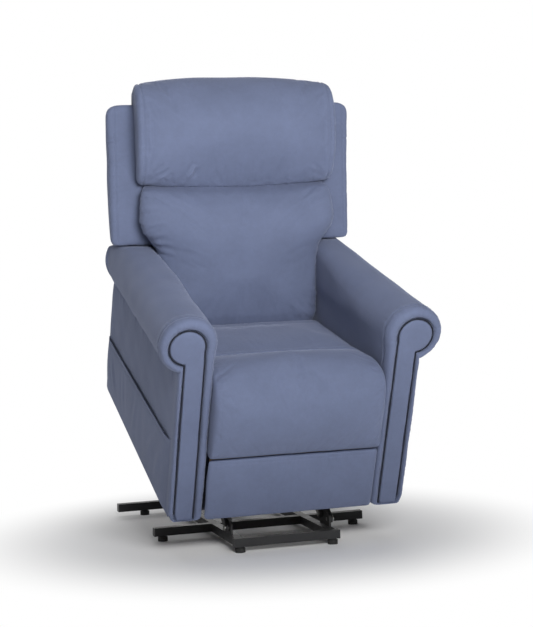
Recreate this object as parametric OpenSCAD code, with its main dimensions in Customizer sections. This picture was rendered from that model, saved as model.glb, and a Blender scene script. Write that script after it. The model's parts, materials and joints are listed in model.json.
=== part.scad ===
// Lift recliner chair on a steel base, drawn with the lift part of the way up.
// Millimetres. X across the chair, -Y towards its front, +Z up, floor at z = 0.

/* [Base] */
// Side of the square base tube
tube_side = 25.4; // [24:0.2:28]
// Wall of the square base tube
tube_wall = 2; // [1.5:0.1:3]
// Height of a foot below the base tube
foot_h = 16.6; // [14:0.2:20]
// Radius of a foot
foot_r = 15; // [12:0.5:17]
// Length of the front cross tube
front_tube_len = 320; // [312:2:340]
// Length of the middle cross tube
middle_tube_len = 664; // [640:2:680]
// Length of the rear cross tube
rear_tube_len = 674; // [640:2:690]
// Front face of the front cross tube
front_tube_y = 32; // [28:1:36]
// Front face of the middle cross tube
middle_tube_y = 306; // [300:1:312]
// Front face of the rear cross tube
rear_tube_y = 780; // [770:1:790]

/* [Pose of the chair on its base] */
// Forward tilt of the chair as drawn, in degrees
rest_tilt = 22; // [22:22]
// Height of the front lower edge of the chair as drawn
rest_z = 105; // [105:105]
// Place of the front lower edge of the chair as drawn
rest_y = 30; // [30:30]

/* [Arms] */
// Inner face of an arm, from the middle of the chair
arm_inner = 258; // [256:1:262]
// Outer face of an arm, from the middle of the chair
arm_outer = 361; // [358:1:364]
// Depth of an arm, front to back
arm_depth = 864; // [850:1:868]
// Radius of the rolled top of an arm
roll_r = 82; // [78:1:83]
// Slope of the arm top down towards the back, in degrees
roll_slope = 6.67; // [6:0.1:7]
// Middle of the roll, from the middle of the chair
roll_x = 333; // [331:1:335]
// Height of the middle of the roll at the front of the arm
roll_z = 560; // [556:1:564]

/* [Seat] */
// Half width of the seat cushion
seat_half = 254; // [250:0.5:255]
// Height of the seat cushion's underside
seat_under = 298; // [296:1:302]

/* [Back] */
// Lean of the back from the upright, in the chair's own frame
back_lean = 20; // [19:0.5:21]
// Half width of the back over the wings
wing_half = 386; // [380:1:392]
// Half width of the head cushion
head_half = 302; // [296:1:306]
// Height of the top of the head cushion along the back
head_top = 812; // [800:1:820]

/* [Footrest] */
// Half width of the footrest panel
panel_half = 251; // [246:0.5:252]
// Height of the footrest panel
panel_h = 197; // [190:1:200]

/* [Hidden] */
$fn = 48;

// The object's box is centred on the origin: everything is moved forward by this much.
centre_y = 311;

// Clearance of a pin in the hole that it turns in, and of a piece beside its neighbour
pin_gap = 0.05;
face_gap = 0.3;

// Lift linkage: base pivots in the base's frame, upper pivots in the chair's frame, as [y, z]
front_base_pivot = [116.1, 61.6];
rear_base_pivot = [155.7, 74.5];
front_chair_pivot = [354.6, 18];
rear_chair_pivot = [660, 63];
link_pin_r = 6;
// The upper pivot of the front links closes the loop, so its hole is wide
loop_gap = 2;
link_t = 8;
front_link_w = 24;
rear_link_w = 28;
// Planes of the linkage plates, from the middle of the chair
rear_link_x = 139.5;
bracket_x = 150;
front_link_x = 158.5;
lift_rail_x = 150;
plate_t = 6;

// Recline pivot in the chair's frame, and its pin
recline_pivot = [700, 250];
recline_pin_r = 8;
// Radius about the recline pivot that the arm tops stay inside, and where that starts
wing_sweep_r = 297;
wing_sweep_y = 733;

// Footrest linkage, as [y, z] in the chair's frame
foot_pivot = [215, 235];
knee = [208, 23];
board_pivot = [36, 130];
foot_pin_r = 5;
foot_link_t = 6;
foot_link_w = 22;
rear_leg_x = 220;
front_leg_x = 210;
board_lug_x = 200;
mechanism_x = 230;

// Actuators, as [y, z] of both ends as drawn: the lift in the base's frame, the footrest in the chair's,
// the back in the chair's at its motor and in the back's at its rod
lift_motor_pivot = [768, 64];
lift_rod_pivot = [190, 129.3];
footrest_motor_pivot = [590, 165];
footrest_rod_pivot = [199.7, 187.4];
back_motor_pivot = [345, 172];
back_rod_pivot = [73.2, -16.5];
footrest_motor_x = -60;
back_motor_x = 70;
actuator_pin_r = 5;
rod_r = 9;
eye_r = 15;
// The rod's eye closes the loop, so its hole is wide
rod_loop_gap = 5.5;

arm_front_t = 22;
pocket_gap = 6;
pocket_skin = 3.4;
seat_rail_x = 236;

upholstery = [0.32, 0.37, 0.52];
steel = [0.08, 0.08, 0.09];
plastic = [0.12, 0.12, 0.13];
timber = [0.72, 0.58, 0.40];
wire = [0.55, 0.56, 0.58];

// ---- frames and shapes that repeat ----

module world() translate([0, -centre_y, 0]) children();
module chair() world() translate([0, rest_y, rest_z]) rotate([rest_tilt, 0, 0]) children();
module back() chair() translate([0, recline_pivot.x, recline_pivot.y]) rotate([-back_lean, 0, 0]) children();

// A side outline, drawn as [y, z], extruded from x0 to x1
module side(x0, x1) translate([x0, 0, 0]) rotate([90, 0, 90]) linear_extrude(x1 - x0) children();

// Both sides of the chair
module both() {
    children();
    mirror([1, 0, 0]) children();
}

// Pin, bar or bore across the chair at [y, z]
module across(p, r, x0, x1) translate([x0, p.x, p.y]) rotate([0, 90, 0]) cylinder(r = r, h = x1 - x0);

// Box from its lowest to its highest corner
module box(a, b) translate(a) cube(b - a);

// Place a side drawing between two points: origin at p, first axis towards q
module along(p, q) translate([0, p.x, p.y]) rotate([atan2(q.y - p.y, q.x - p.x), 0, 0]) children();

function dist(p, q) = norm(q - p);
function to_base(p) = [rest_y + p.x * cos(rest_tilt) - p.y * sin(rest_tilt),
    rest_z + p.x * sin(rest_tilt) + p.y * cos(rest_tilt)];
function back_to_chair(p) = [recline_pivot.x + p.x * cos(back_lean) + p.y * sin(back_lean),
    recline_pivot.y - p.x * sin(back_lean) + p.y * cos(back_lean)];

// Flat link with round ends between two pivots, with a hole at each
module link(p, q, w, t, r_p, r_q) along(p, q) difference() {
    union() {
        box([0, 0, -w / 2], [t, dist(p, q), w / 2]);
        across([0, 0], w / 2, 0, t);
        across([dist(p, q), 0], w / 2, 0, t);
    }
    across([0, 0], r_p, -1, t + 1);
    across([dist(p, q), 0], r_q, -1, t + 1);
}

// Pin of radius r from x0 to x1 with a head of radius head_r on its end at x1
module headed_pin(p, r, x0, x1, head_r) {
    across(p, r, min(x0, x1), max(x0, x1));
    across(p, head_r, x1 > x0 ? x1 : x1 - 3, x1 > x0 ? x1 + 3 : x1);
}

// Two square-ended levers from p, either side of an actuator's eye at x, and the pin welded across them at q
module clevis(p, q, x) {
    for (e = [x - 14 - plate_t, x + 14]) along(p, q) box([e, 0, -10], [e + plate_t, dist(p, q) + 10, 10]);
    across(q, actuator_pin_r, x - 16 - plate_t, x + 16 + plate_t);
}

// ---- base ----

tube_top = foot_h + tube_side;

module cross_tube(y, len) world() difference() {
    box([-len / 2, y, foot_h], [len / 2, y + tube_side, tube_top]);
    box([-len, y + tube_wall, foot_h + tube_wall], [len, y + tube_side - tube_wall, tube_top - tube_wall]);
}

module long_tube(y0, y1) difference() {
    box([130, y0, foot_h], [130 + tube_side, y1, tube_top]);
    box([130 + tube_wall, y0 - 1, foot_h + tube_wall], [130 + tube_side - tube_wall, y1 + 1, tube_top - tube_wall]);
}

module base_front_tube() color(steel) cross_tube(front_tube_y, front_tube_len);
module base_middle_tube() color(steel) cross_tube(middle_tube_y, middle_tube_len);
module base_rear_tube() color(steel) cross_tube(rear_tube_y, rear_tube_len);
module base_long_tubes() color(steel) world() both() {
    long_tube(front_tube_y + tube_side, middle_tube_y);
    long_tube(middle_tube_y + tube_side, rear_tube_y);
}

// Plug with a flange that closes the end of a cross tube
module end_cap(y, len) {
    inner = tube_side - 2 * tube_wall - 0.2;
    box([len / 2 - 12, y + tube_wall + 0.1, foot_h + tube_wall + 0.1],
        [len / 2 + 0.5, y + tube_wall + 0.1 + inner, foot_h + tube_wall + 0.1 + inner]);
    box([len / 2, y, foot_h], [len / 2 + 3, y + tube_side, tube_top]);
}
module tube_end_caps() color(plastic) world() both() {
    end_cap(front_tube_y, front_tube_len);
    end_cap(middle_tube_y, middle_tube_len);
    end_cap(rear_tube_y, rear_tube_len);
}

module foot(x, y) translate([x, y + tube_side / 2, 0]) {
    cylinder(r = foot_r, h = foot_h - 4);
    translate([0, 0, foot_h - 4]) cylinder(r = foot_r - 4, h = 4);
}
module feet() color(plastic) world() both() {
    foot(143, front_tube_y);
    foot(307, middle_tube_y);
    foot(250, rear_tube_y);
}

// Upright plate on a long tube that carries both lift links
module link_brackets() color(steel) world() both() difference() {
    side(bracket_x, bracket_x + plate_t)
        polygon([[92, tube_top], [92, 74], [100, 82], [146, 96], [166, 96], [178, 84], [178, tube_top]]);
    across(front_base_pivot, link_pin_r + pin_gap, bracket_x - 1, bracket_x + plate_t + 1);
    across(rear_base_pivot, link_pin_r + pin_gap, bracket_x - 1, bracket_x + plate_t + 1);
}

module base_pivot_pins() color(wire) world() both() {
    headed_pin(front_base_pivot, link_pin_r, bracket_x, front_link_x + link_t + 1, link_pin_r + 3);
    headed_pin(rear_base_pivot, link_pin_r, bracket_x + plate_t, rear_link_x - 1, link_pin_r + 3);
}

// Two ears that stand on the rear tube, with the lift motor's pin welded across them
module lift_motor_bracket() color(steel) world() {
    for (e = [-14 - plate_t, 14]) side(e, e + plate_t) polygon([[rear_tube_y + 2, tube_top],
        [rear_tube_y + 23, tube_top], [rear_tube_y + 23, tube_top + 10], [rear_tube_y - 3, 78],
        [rear_tube_y - 23, 78], [rear_tube_y - 23, 52], [rear_tube_y - 4, 52]]);
    box([-28, rear_tube_y + 3, tube_top], [28, rear_tube_y + 22, tube_top + 4]);
    across(lift_motor_pivot, actuator_pin_r, -16 - plate_t, 16 + plate_t);
}

// ---- lift links ----

module front_lift_links() color(steel) world() both() translate([front_link_x, 0, 0])
    link(front_base_pivot, to_base(front_chair_pivot), front_link_w, link_t,
        link_pin_r + pin_gap, link_pin_r + loop_gap);

module rear_lift_links() color(steel) world() both() translate([rear_link_x, 0, 0])
    link(rear_base_pivot, to_base(rear_chair_pivot), rear_link_w, link_t,
        link_pin_r + pin_gap, link_pin_r + pin_gap);

// Torque tube that makes the two rear links turn as one, and the lever that the lift rod pushes
torque_tube_at = 42;
rear_link_angle = atan2(to_base(rear_chair_pivot).y - rear_base_pivot.y,
    to_base(rear_chair_pivot).x - rear_base_pivot.x);
torque_tube = rear_base_pivot + torque_tube_at * [cos(rear_link_angle), sin(rear_link_angle)];
module rear_link_tube() color(steel) world() {
    across(torque_tube, 11, -rear_link_x, rear_link_x);
    clevis(torque_tube, lift_rod_pivot, 0);
}

// ---- lift frame under the chair ----

rail_top = 96;

// Rail with a lug at each end of the linkage
module lift_rails() color(steel) chair() both() difference() {
    side(lift_rail_x, lift_rail_x + plate_t)
        polygon([[205, 66], [205, rail_top], [692, rail_top], [692, 48], [632, 48], [612, 66], [374, 66],
            [371, 14], [363, 4], [346, 4], [338, 14], [335, 66]]);
    for (p = [front_chair_pivot, rear_chair_pivot])
        across(p, link_pin_r + pin_gap, lift_rail_x - 1, lift_rail_x + plate_t + 1);
}

module lift_cross_tubes() color(steel) chair() {
    for (y = [218, 342]) box([-lift_rail_x, y, 66], [lift_rail_x, y + 25, 91]);
    box([-lift_rail_x, 556, 76], [lift_rail_x, 581, rail_top]);
}

module lift_pins() color(wire) chair() both() {
    headed_pin(front_chair_pivot, link_pin_r, lift_rail_x, front_link_x + link_t + 1, link_pin_r + 6);
    headed_pin(rear_chair_pivot, link_pin_r, lift_rail_x + plate_t, rear_link_x - 1, link_pin_r + 3);
}

// ---- seat mechanism ----

module mechanism_plate() difference() {
    side(mechanism_x, mechanism_x + plate_t) polygon([[180, 215], [196, 252], [230, 262], [560, 262],
        [672, 276], [716, 272], [724, 240], [704, 220], [640, 200], [628, 98], [596, 98], [580, 180],
        [330, 180], [318, 98], [286, 98], [270, 190], [200, 205]]);
    across(foot_pivot, foot_pin_r + pin_gap, mechanism_x - 1, mechanism_x + plate_t + 1);
    across(recline_pivot, recline_pin_r + pin_gap, mechanism_x - 1, mechanism_x + plate_t + 1);
}
module mechanism_plate_left() color(steel) chair() mirror([1, 0, 0]) mechanism_plate();
module mechanism_plate_right() color(steel) chair() mechanism_plate();

module mechanism_tubes() color(steel) chair() {
    for (y = [290, 600]) box([-mechanism_x, y, rail_top], [mechanism_x, y + 25, rail_top + 25]);
    clevis([612, rail_top + 12], footrest_motor_pivot, footrest_motor_x);
    clevis([302, rail_top + 12], back_motor_pivot, back_motor_x);
}

module mechanism_pins() color(wire) chair() both() {
    headed_pin(foot_pivot, foot_pin_r, mechanism_x + plate_t, rear_leg_x - 1, foot_pin_r + 3);
    headed_pin(recline_pivot, recline_pin_r, mechanism_x + plate_t, mechanism_x - 9, recline_pin_r + 4);
}

// ---- seat ----

rail_z0 = 206;
rail_z1 = 285;

module seat_side_rails() color(timber) chair() both()
    box([seat_rail_x, 62, rail_z0], [seat_rail_x + 18, 600, rail_z1]);

module seat_cross_rails() color(timber) chair() {
    box([-seat_rail_x - 18, 44, 212], [seat_rail_x + 18, 62, rail_z1]);
    box([-mechanism_x, 582, 215], [mechanism_x, 600, rail_z1]);
}

// Wavy wire, drawn flat: a band that zigzags between two edges
module wavy_wire(len, sway, pitch, w) {
    n = floor(len / pitch);
    edge = [for (i = [0:n]) [sway * (i % 2 == 0 ? 1 : -1), i * len / n]];
    polygon(concat(edge, [for (i = [n:-1:0]) edge[i] + [w, 0]]));
}
module seat_springs() color(wire) chair() for (i = [-2:2])
    translate([i * 92, 50, rail_z1]) linear_extrude(3.5) wavy_wire(542, 18, 24, 5);

function seat_profile() = [[22, 213], [-14, 213], [-32, 240], [-42, 290], [-46, 350], [-42, 404], [-26, 440],
    [6, 461], [60, 467], [130, 450], [201, 429], [360, 394], [540, 353], [560, 334], [560, seat_under],
    [66, seat_under], [40, 290], [34, 240]];
module seat_cushion() color(upholstery) chair() side(-seat_half, seat_half) polygon(seat_profile());

// ---- arms ----

// The rolled top: a sloping cylinder, cut back at the rear where the wings swing down
module roll_axis() translate([roll_x, 0, roll_z]) rotate([-90 - roll_slope, 0, 0]) children();
module wing_room() difference() {
    box([200, wing_sweep_y, 430], [460, arm_depth + 40, 720]);
    across(recline_pivot, wing_sweep_r, 190, 470);
}
module arm_roll() difference() {
    intersection() {
        roll_axis() translate([0, 0, -60]) cylinder(r = roll_r, h = arm_depth + 120, $fn = 96);
        box([200, arm_front_t + face_gap, 300], [460, arm_depth - 4, 720]);
    }
    wing_room();
}
module arm_roll_left() color(upholstery) chair() mirror([1, 0, 0]) arm_roll();
module arm_roll_right() color(upholstery) chair() arm_roll();

// One upright layer of the arm, from x0 to x1, under the roll
module arm_layer(x0, x1, y1) difference() {
    side(x0, x1) polygon([[arm_front_t + face_gap, 2], [y1, 2], [y1, roll_z - tan(roll_slope) * y1 - 25],
        [arm_front_t + face_gap, roll_z - 28]]);
    roll_axis() translate([0, 0, -60]) cylinder(r = roll_r + face_gap, h = arm_depth + 120, $fn = 96);
}
frame_x0 = arm_inner + 27;
frame_x1 = frame_x0 + 18;
module arm_inner_panel_left() color(upholstery) chair() mirror([1, 0, 0]) arm_layer(arm_inner, frame_x0, arm_depth - 10);
module arm_inner_panel_right() color(upholstery) chair() arm_layer(arm_inner, frame_x0, arm_depth - 10);
module arm_frames() color(timber) chair() both() arm_layer(frame_x0, frame_x1, arm_depth - 14);
panel_outer = arm_outer - pocket_gap - pocket_skin;
module arm_outer_panel_left() color(upholstery) chair() mirror([1, 0, 0]) arm_layer(frame_x1, panel_outer, arm_depth);
module arm_outer_panel_right() color(upholstery) chair() arm_layer(frame_x1, panel_outer, arm_depth);

// Front of the arm: the outline of post and roll, and the keyhole panel let into it
key_r = 51.5;
key_c = [336.5, 554];
seam_w = 3.5;
module keyhole(grow) {
    translate(key_c) circle(r = key_r + grow);
    translate([286 - grow, -1]) square([56 + 2 * grow, key_c.y + 1]);
}
module arm_outline() {
    translate([arm_inner, 0]) square([arm_outer - arm_inner, roll_z - 60]);
    translate([roll_x, roll_z]) circle(r = roll_r + 2, $fn = 96);
}
module front_plate(y0, y1) translate([0, y1, 0]) rotate([90, 0, 0]) linear_extrude(y1 - y0) children();
module arm_border() {
    front_plate(0, arm_front_t) difference() {
        arm_outline();
        keyhole(seam_w);
    }
    front_plate(arm_front_t - 3, arm_front_t) intersection() {
        arm_outline();
        keyhole(seam_w);
    }
}
module arm_border_left() color(upholstery) chair() mirror([1, 0, 0]) arm_border();
module arm_border_right() color(upholstery) chair() arm_border();
module arm_inset() front_plate(2, arm_front_t - 3) intersection() {
    keyhole(0);
    arm_outline();
}
module arm_inset_left() color(upholstery) chair() mirror([1, 0, 0]) arm_inset();
module arm_inset_right() color(upholstery) chair() arm_inset();

// Pocket on the outside of the arm: a skin that stands off the panel, open along its top
pocket_front = 60;
pocket_top_front = 240;
pocket_top_rear = 187;
module side_pocket() {
    side(arm_outer - pocket_skin, arm_outer)
        polygon([[arm_front_t + face_gap, 2], [arm_depth, 2], [arm_depth, pocket_top_rear],
            [pocket_front + 12, pocket_top_front], [arm_front_t + face_gap, pocket_top_front + 18]]);
    side(panel_outer, arm_outer - pocket_skin)
        polygon([[arm_front_t + face_gap, 2], [arm_depth, 2], [arm_depth, pocket_top_rear],
            [arm_depth - 8, pocket_top_rear], [arm_depth - 8, 8], [pocket_front, 8],
            [pocket_front, pocket_top_front], [arm_front_t + face_gap, pocket_top_front + 18]]);
}
module side_pocket_left() color(upholstery) chair() mirror([1, 0, 0]) side_pocket();
module side_pocket_right() color(upholstery) chair() side_pocket();

// ---- power supply under the seat ----

module control_box() color(plastic) chair() difference() {
    box([-150, 486, 216], [-20, 582, 262]);
    box([-74, 478, 224], [-36, 500, 246]);
    for (x = [-130, -106]) translate([x, 482, 236]) rotate([-90, 0, 0]) cylinder(r = 6, h = 14);
}
module power_inlet() color(plastic) chair() {
    box([-73, 484, 225], [-37, 499, 228]);
    box([-73, 496, 228], [-37, 499, 245]);
    for (x = [-64, -46]) translate([x, 486, 236]) rotate([-90, 0, 0]) cylinder(r = 1.5, h = 10.5);
}

// ---- back, drawn upright with its origin on the recline pivot: y to the rear, z up ----

frame_front = -62;
wing_bottom = 303;
wing_top = 716;
back_depth = 62;

bracket_plate_x = mechanism_x - 8;
module back_brackets() color(steel) back() both() difference() {
    side(bracket_plate_x, bracket_plate_x + plate_t)
        polygon([[-16, -16], [20, -16], [60, -8], [60, 18], [13.5, 19], [13.5, 220], [-22, 220]]);
    across([0, 0], recline_pin_r + pin_gap, bracket_plate_x - 1, bracket_plate_x + plate_t + 1);
}
module back_posts() color(timber) back() both()
    box([bracket_plate_x - 26, -34, 24], [bracket_plate_x, 10, 786]);
post_inner = bracket_plate_x - 26;
module back_rails() color(timber) back() for (z = [24, 404, 742])
    box([-post_inner, -28, z], [post_inner, 4, z + 44]);
drive_tube = [44, 7];
module back_drive_tube() color(steel) back() {
    box([-bracket_plate_x, drive_tube.x - 11, drive_tube.y - 11],
        [bracket_plate_x, drive_tube.x + 11, drive_tube.y + 11]);
    clevis(drive_tube, back_rod_pivot, back_motor_x);
}
module back_springs() color(wire) back() for (i = [0:3])
    translate([-post_inner - 10, -34, 120 + i * 84]) rotate([90, 90, 0]) linear_extrude(3.5)
        wavy_wire(2 * post_inner + 20, 14, 24, 5);

// Outer back: a padded panel that is narrow between the arms and above the wings
module outer_back() color(upholstery) back() {
    box([-246, 14, 20], [246, back_depth, wing_bottom - 1]);
    box([-229, 14, wing_bottom - 1], [229, back_depth, wing_top]);
    box([-286, 14, wing_top], [286, back_depth, 786]);
}
module wing() side(230, wing_half) polygon([[-58, wing_bottom + 4], [-20, wing_bottom], [30, wing_bottom],
    [back_depth - 2, wing_bottom + 8], [back_depth, wing_top - 24], [back_depth - 20, wing_top - 2],
    [-40, wing_top - 2], [frame_front - 8, wing_top - 22], [frame_front - 10, wing_bottom + 30]]);
module wing_left() color(upholstery) back() mirror([1, 0, 0]) wing();
module wing_right() color(upholstery) back() wing();

cushion_back = frame_front - 10.5;
function lower_back_profile() = [[cushion_back, 60], [-150, 52], [-172, 66], [-176, 130], [-168, 220],
    [-176, 300], [-190, 370], [-180, 420], [-150, 462], [-110, 470], [cushion_back, 470]];
module lower_back_cushion() color(upholstery) back() {
    intersection() {
        side(-300, 300) polygon(lower_back_profile());
        front_plate(-260, 0) polygon([[-240, 50], [-244, 150], [-240, 270], [-262, 312], [-290, 340], [-300, 370],
            [-292, 430], [-280, 472], [280, 472], [292, 430], [300, 370], [290, 340], [262, 312], [240, 270],
            [244, 150], [240, 50]]);
    }
    // the layer between the springs and the cushion, inside the posts
    box([-post_inner, cushion_back, 60], [post_inner, -38, 470]);
}
function head_profile() = [[cushion_back, 474], [-128, 474], [-156, 496], [-170, 560], [-174, 640], [-168, 720],
    [-150, 772], [-118, 802], [-70, head_top], [0, head_top - 4], [40, head_top - 14], [50, 788],
    [cushion_back, 788]];
module head_cushion() color(upholstery) back() {
    side(-head_half, head_half) polygon(head_profile());
    box([-post_inner, cushion_back, 474], [post_inner, -38, 788]);
}

// ---- footrest ----

module footrest_rear_links() color(steel) chair() both() {
    translate([rear_leg_x, 0, 0])
        link(foot_pivot, knee, foot_link_w, foot_link_t, foot_pin_r + pin_gap, foot_pin_r + pin_gap);
    headed_pin(knee, foot_pin_r, rear_leg_x + foot_link_t, front_leg_x - 1, foot_pin_r + 3);
}
footrest_tube = foot_pivot + 0.45 * (knee - foot_pivot);
module footrest_drive_tube() color(steel) chair() {
    box([-rear_leg_x, footrest_tube.x - 10, footrest_tube.y - 10],
        [rear_leg_x, footrest_tube.x + 10, footrest_tube.y + 10]);
    clevis(footrest_tube, footrest_rod_pivot, footrest_motor_x);
}
module footrest_front_links() color(steel) chair() both() {
    translate([front_leg_x, 0, 0])
        link(knee, board_pivot, foot_link_w, foot_link_t, foot_pin_r + pin_gap, foot_pin_r + pin_gap);
    headed_pin(board_pivot, foot_pin_r, front_leg_x + foot_link_t, board_lug_x - 1, foot_pin_r + 3);
}
board_y = 8;
module footrest_board() color(timber) chair() {
    box([-panel_half + 6, board_y, 12], [panel_half - 6, board_y + 12, panel_h]);
    both() difference() {
        side(board_lug_x, board_lug_x + 6) polygon([[board_y + 12, 90], [board_y + 12, 170], [40, 142], [47, 136],
            [47, 124], [40, 118]]);
        across(board_pivot, foot_pin_r + pin_gap, board_lug_x - 1, board_lug_x + 7);
    }
}
module footrest_pad() color(upholstery) chair()
    side(-panel_half, panel_half) polygon([[board_y, 6], [-8, 8], [-15, 20], [-16, 100], [-15, 186], [-8, 200],
        [board_y, 203]]);

// ---- actuators: a motor with its gearbox and tube on a rear eye, and a rod with a front eye ----

module actuator_frame(p, q, x) translate([x, 0, 0]) along(p, q) children();
module motor(p, q, x, tube_len, way) color(plastic) actuator_frame(p, q, x) difference() {
    union() {
        across([0, 0], eye_r, -9, 9);
        box([-9, 0, -9], [9, 30, 9]);
        box([-22, 26, -22], [22, 74, 22]);
        translate([0, 60, 0]) rotate([-90, 0, 0]) cylinder(r = 17, h = tube_len - 60);
        across([50, 0], 21, way > 0 ? 0 : -80, way > 0 ? 80 : 0);
    }
    across([0, 0], actuator_pin_r + pin_gap, -20, 20);
    translate([0, 78, 0]) rotate([-90, 0, 0]) cylinder(r = rod_r + 0.4, h = tube_len);
}
module rod(p, q, x, start) color(wire) actuator_frame(p, q, x) difference() {
    union() {
        translate([0, start, 0]) rotate([-90, 0, 0]) cylinder(r = rod_r, h = dist(p, q) - start - 12);
        across([dist(p, q), 0], eye_r, -8, 8);
    }
    across([dist(p, q), 0], actuator_pin_r + rod_loop_gap, -20, 20);
}

back_rod_end = back_to_chair(back_rod_pivot);
module lift_motor() world() motor(lift_motor_pivot, lift_rod_pivot, 0, 470, 1);
module lift_rod() world() rod(lift_motor_pivot, lift_rod_pivot, 0, 300);
module footrest_motor() chair() motor(footrest_motor_pivot, footrest_rod_pivot, footrest_motor_x, 320, -1);
module footrest_rod() chair() rod(footrest_motor_pivot, footrest_rod_pivot, footrest_motor_x, 150);
module back_motor() chair() motor(back_motor_pivot, back_rod_end, back_motor_x, 320, 1);
module back_rod() chair() rod(back_motor_pivot, back_rod_end, back_motor_x, 150);

base_front_tube();
base_middle_tube();
base_rear_tube();
base_long_tubes();
tube_end_caps();
feet();
link_brackets();
base_pivot_pins();
lift_motor_bracket();
front_lift_links();
rear_lift_links();
rear_link_tube();
lift_rails();
lift_cross_tubes();
lift_pins();
mechanism_plate_left();
mechanism_plate_right();
mechanism_tubes();
mechanism_pins();
seat_side_rails();
seat_cross_rails();
seat_springs();
seat_cushion();
arm_frames();
arm_inner_panel_left();
arm_inner_panel_right();
arm_outer_panel_left();
arm_outer_panel_right();
arm_roll_left();
arm_roll_right();
arm_border_left();
arm_border_right();
arm_inset_left();
arm_inset_right();
side_pocket_left();
side_pocket_right();
control_box();
power_inlet();
back_brackets();
back_posts();
back_rails();
back_drive_tube();
back_springs();
outer_back();
wing_left();
wing_right();
lower_back_cushion();
head_cushion();
footrest_rear_links();
footrest_drive_tube();
footrest_front_links();
footrest_board();
footrest_pad();
lift_motor();
lift_rod();
footrest_motor();
footrest_rod();
back_motor();
back_rod();
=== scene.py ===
"""Lift recliner chair: upholstery, finishes, floor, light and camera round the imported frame. Metres."""
import json
import math

import bmesh
import bpy
import numpy as np
from mathutils import Matrix, Vector


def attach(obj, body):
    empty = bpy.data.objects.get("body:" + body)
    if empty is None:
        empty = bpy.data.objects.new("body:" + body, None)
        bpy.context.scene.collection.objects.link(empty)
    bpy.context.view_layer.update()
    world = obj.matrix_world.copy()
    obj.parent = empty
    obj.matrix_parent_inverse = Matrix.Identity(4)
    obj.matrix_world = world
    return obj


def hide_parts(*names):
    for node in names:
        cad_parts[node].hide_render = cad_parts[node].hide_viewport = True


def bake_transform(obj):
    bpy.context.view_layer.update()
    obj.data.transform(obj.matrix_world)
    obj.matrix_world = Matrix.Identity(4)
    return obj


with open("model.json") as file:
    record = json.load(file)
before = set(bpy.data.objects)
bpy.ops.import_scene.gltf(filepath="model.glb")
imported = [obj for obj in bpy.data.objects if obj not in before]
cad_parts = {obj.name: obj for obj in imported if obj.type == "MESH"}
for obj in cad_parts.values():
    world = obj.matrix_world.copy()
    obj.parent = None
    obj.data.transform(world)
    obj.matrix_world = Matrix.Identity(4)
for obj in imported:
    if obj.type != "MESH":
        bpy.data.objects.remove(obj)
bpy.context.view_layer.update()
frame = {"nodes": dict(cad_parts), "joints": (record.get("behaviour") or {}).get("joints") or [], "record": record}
scene = bpy.context.scene

# ---- Places in the chair's own level frame: y to the rear, z up from the front lower edge ----

RECLINE_HINGE = (0.700, 0.250)
FOOTREST_HINGE = (0.215, 0.235)
BACK_LEAN = math.radians(20)

ARM_INNER = 0.258
ARM_OUTER = 0.361
ARM_WALL = 0.3525
ARM_DEPTH = 0.860
ROLL_X = 0.333
ROLL_Z = 0.560
ROLL_R = 0.083
ROLL_SLOPE = math.tan(math.radians(6.67))
# The roll's outer half narrows by this much to the rear; its inner half is fuller midway and squarer behind
ROLL_NARROWING = 0.48
ROLL_PLUMPNESS = 0.14
ROLL_SQUARENESS = 1.3
# Radius of the arm's rear top about the recline hinge, and where the wings stand in front at rest
WING_SWEEP_R = 0.300
WING_FRONT_Y = 0.735
KEYHOLE_X = 0.3365
KEYHOLE_Z = 0.554
KEYHOLE_R = 0.0515
KEYHOLE_POST = (0.286, 0.342)

SEAT_HALF = 0.2555
SEAT_SEAM_Y = 0.201
PANEL_HALF = 0.2555

# In the back's frame, with its origin on the recline hinge: y to the rear, z up along the back
WING_Z = (0.304, 0.733)
WING_OUTER = 0.392
WING_UNDER_R = 0.3035


def hinge(name):
    return Vector(next(j for j in frame["joints"] if j["name"] == name)["pos_m"])


def chair_frame():
    """The chair's frame at rest, from where its two hinges stand."""
    step = hinge("recline") - hinge("footrest")
    level = math.atan2(RECLINE_HINGE[1] - FOOTREST_HINGE[1], RECLINE_HINGE[0] - FOOTREST_HINGE[0])
    turn = Matrix.Rotation(math.atan2(step.z, step.y) - level, 4, "X")
    return Matrix.Translation(hinge("recline") - turn @ Vector((0, *RECLINE_HINGE))) @ turn


CHAIR = chair_frame()
BACK = CHAIR @ Matrix.Translation((0, *RECLINE_HINGE)) @ Matrix.Rotation(-BACK_LEAN, 4, "X")

# ---- Camera, floor and light ----

# How brightly the white surround lights the chair; the camera sees it at full strength
SURROUND_LIGHT = 0.12


def add_object(name, data):
    obj = bpy.data.objects.new(name, data)
    scene.collection.objects.link(obj)
    return obj


def add_camera(location, yaw, pitch, roll, lens):
    """Yaw turns right of +Y, pitch looks down, roll turns about the line of sight, in degrees."""
    yaw, pitch, roll = map(math.radians, (yaw, pitch, roll))
    forward = Vector((math.sin(yaw) * math.cos(pitch), math.cos(yaw) * math.cos(pitch), -math.sin(pitch)))
    right = Vector((math.cos(yaw), -math.sin(yaw), 0))
    up = right.cross(forward)
    level = Matrix((right, up, -forward)).transposed().to_4x4()
    camera = add_object("camera", bpy.data.cameras.new("camera"))
    camera.data.lens = lens
    camera.matrix_world = Matrix.Translation(location) @ level @ Matrix.Rotation(roll, 4, "Z")
    scene.camera = camera


def add_light(name, location, target, size, power, beam=180):
    """A rectangular soft box that faces its target; beam is its spread in degrees."""
    data = bpy.data.lights.new(name, "AREA")
    data.shape = "RECTANGLE"
    data.size, data.size_y = size
    data.energy = power
    data.spread = math.radians(beam)
    light = add_object(name, data)
    light.location = location
    light.rotation_euler = (Vector(target) - Vector(location)).to_track_quat("-Z", "Y").to_euler()


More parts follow.
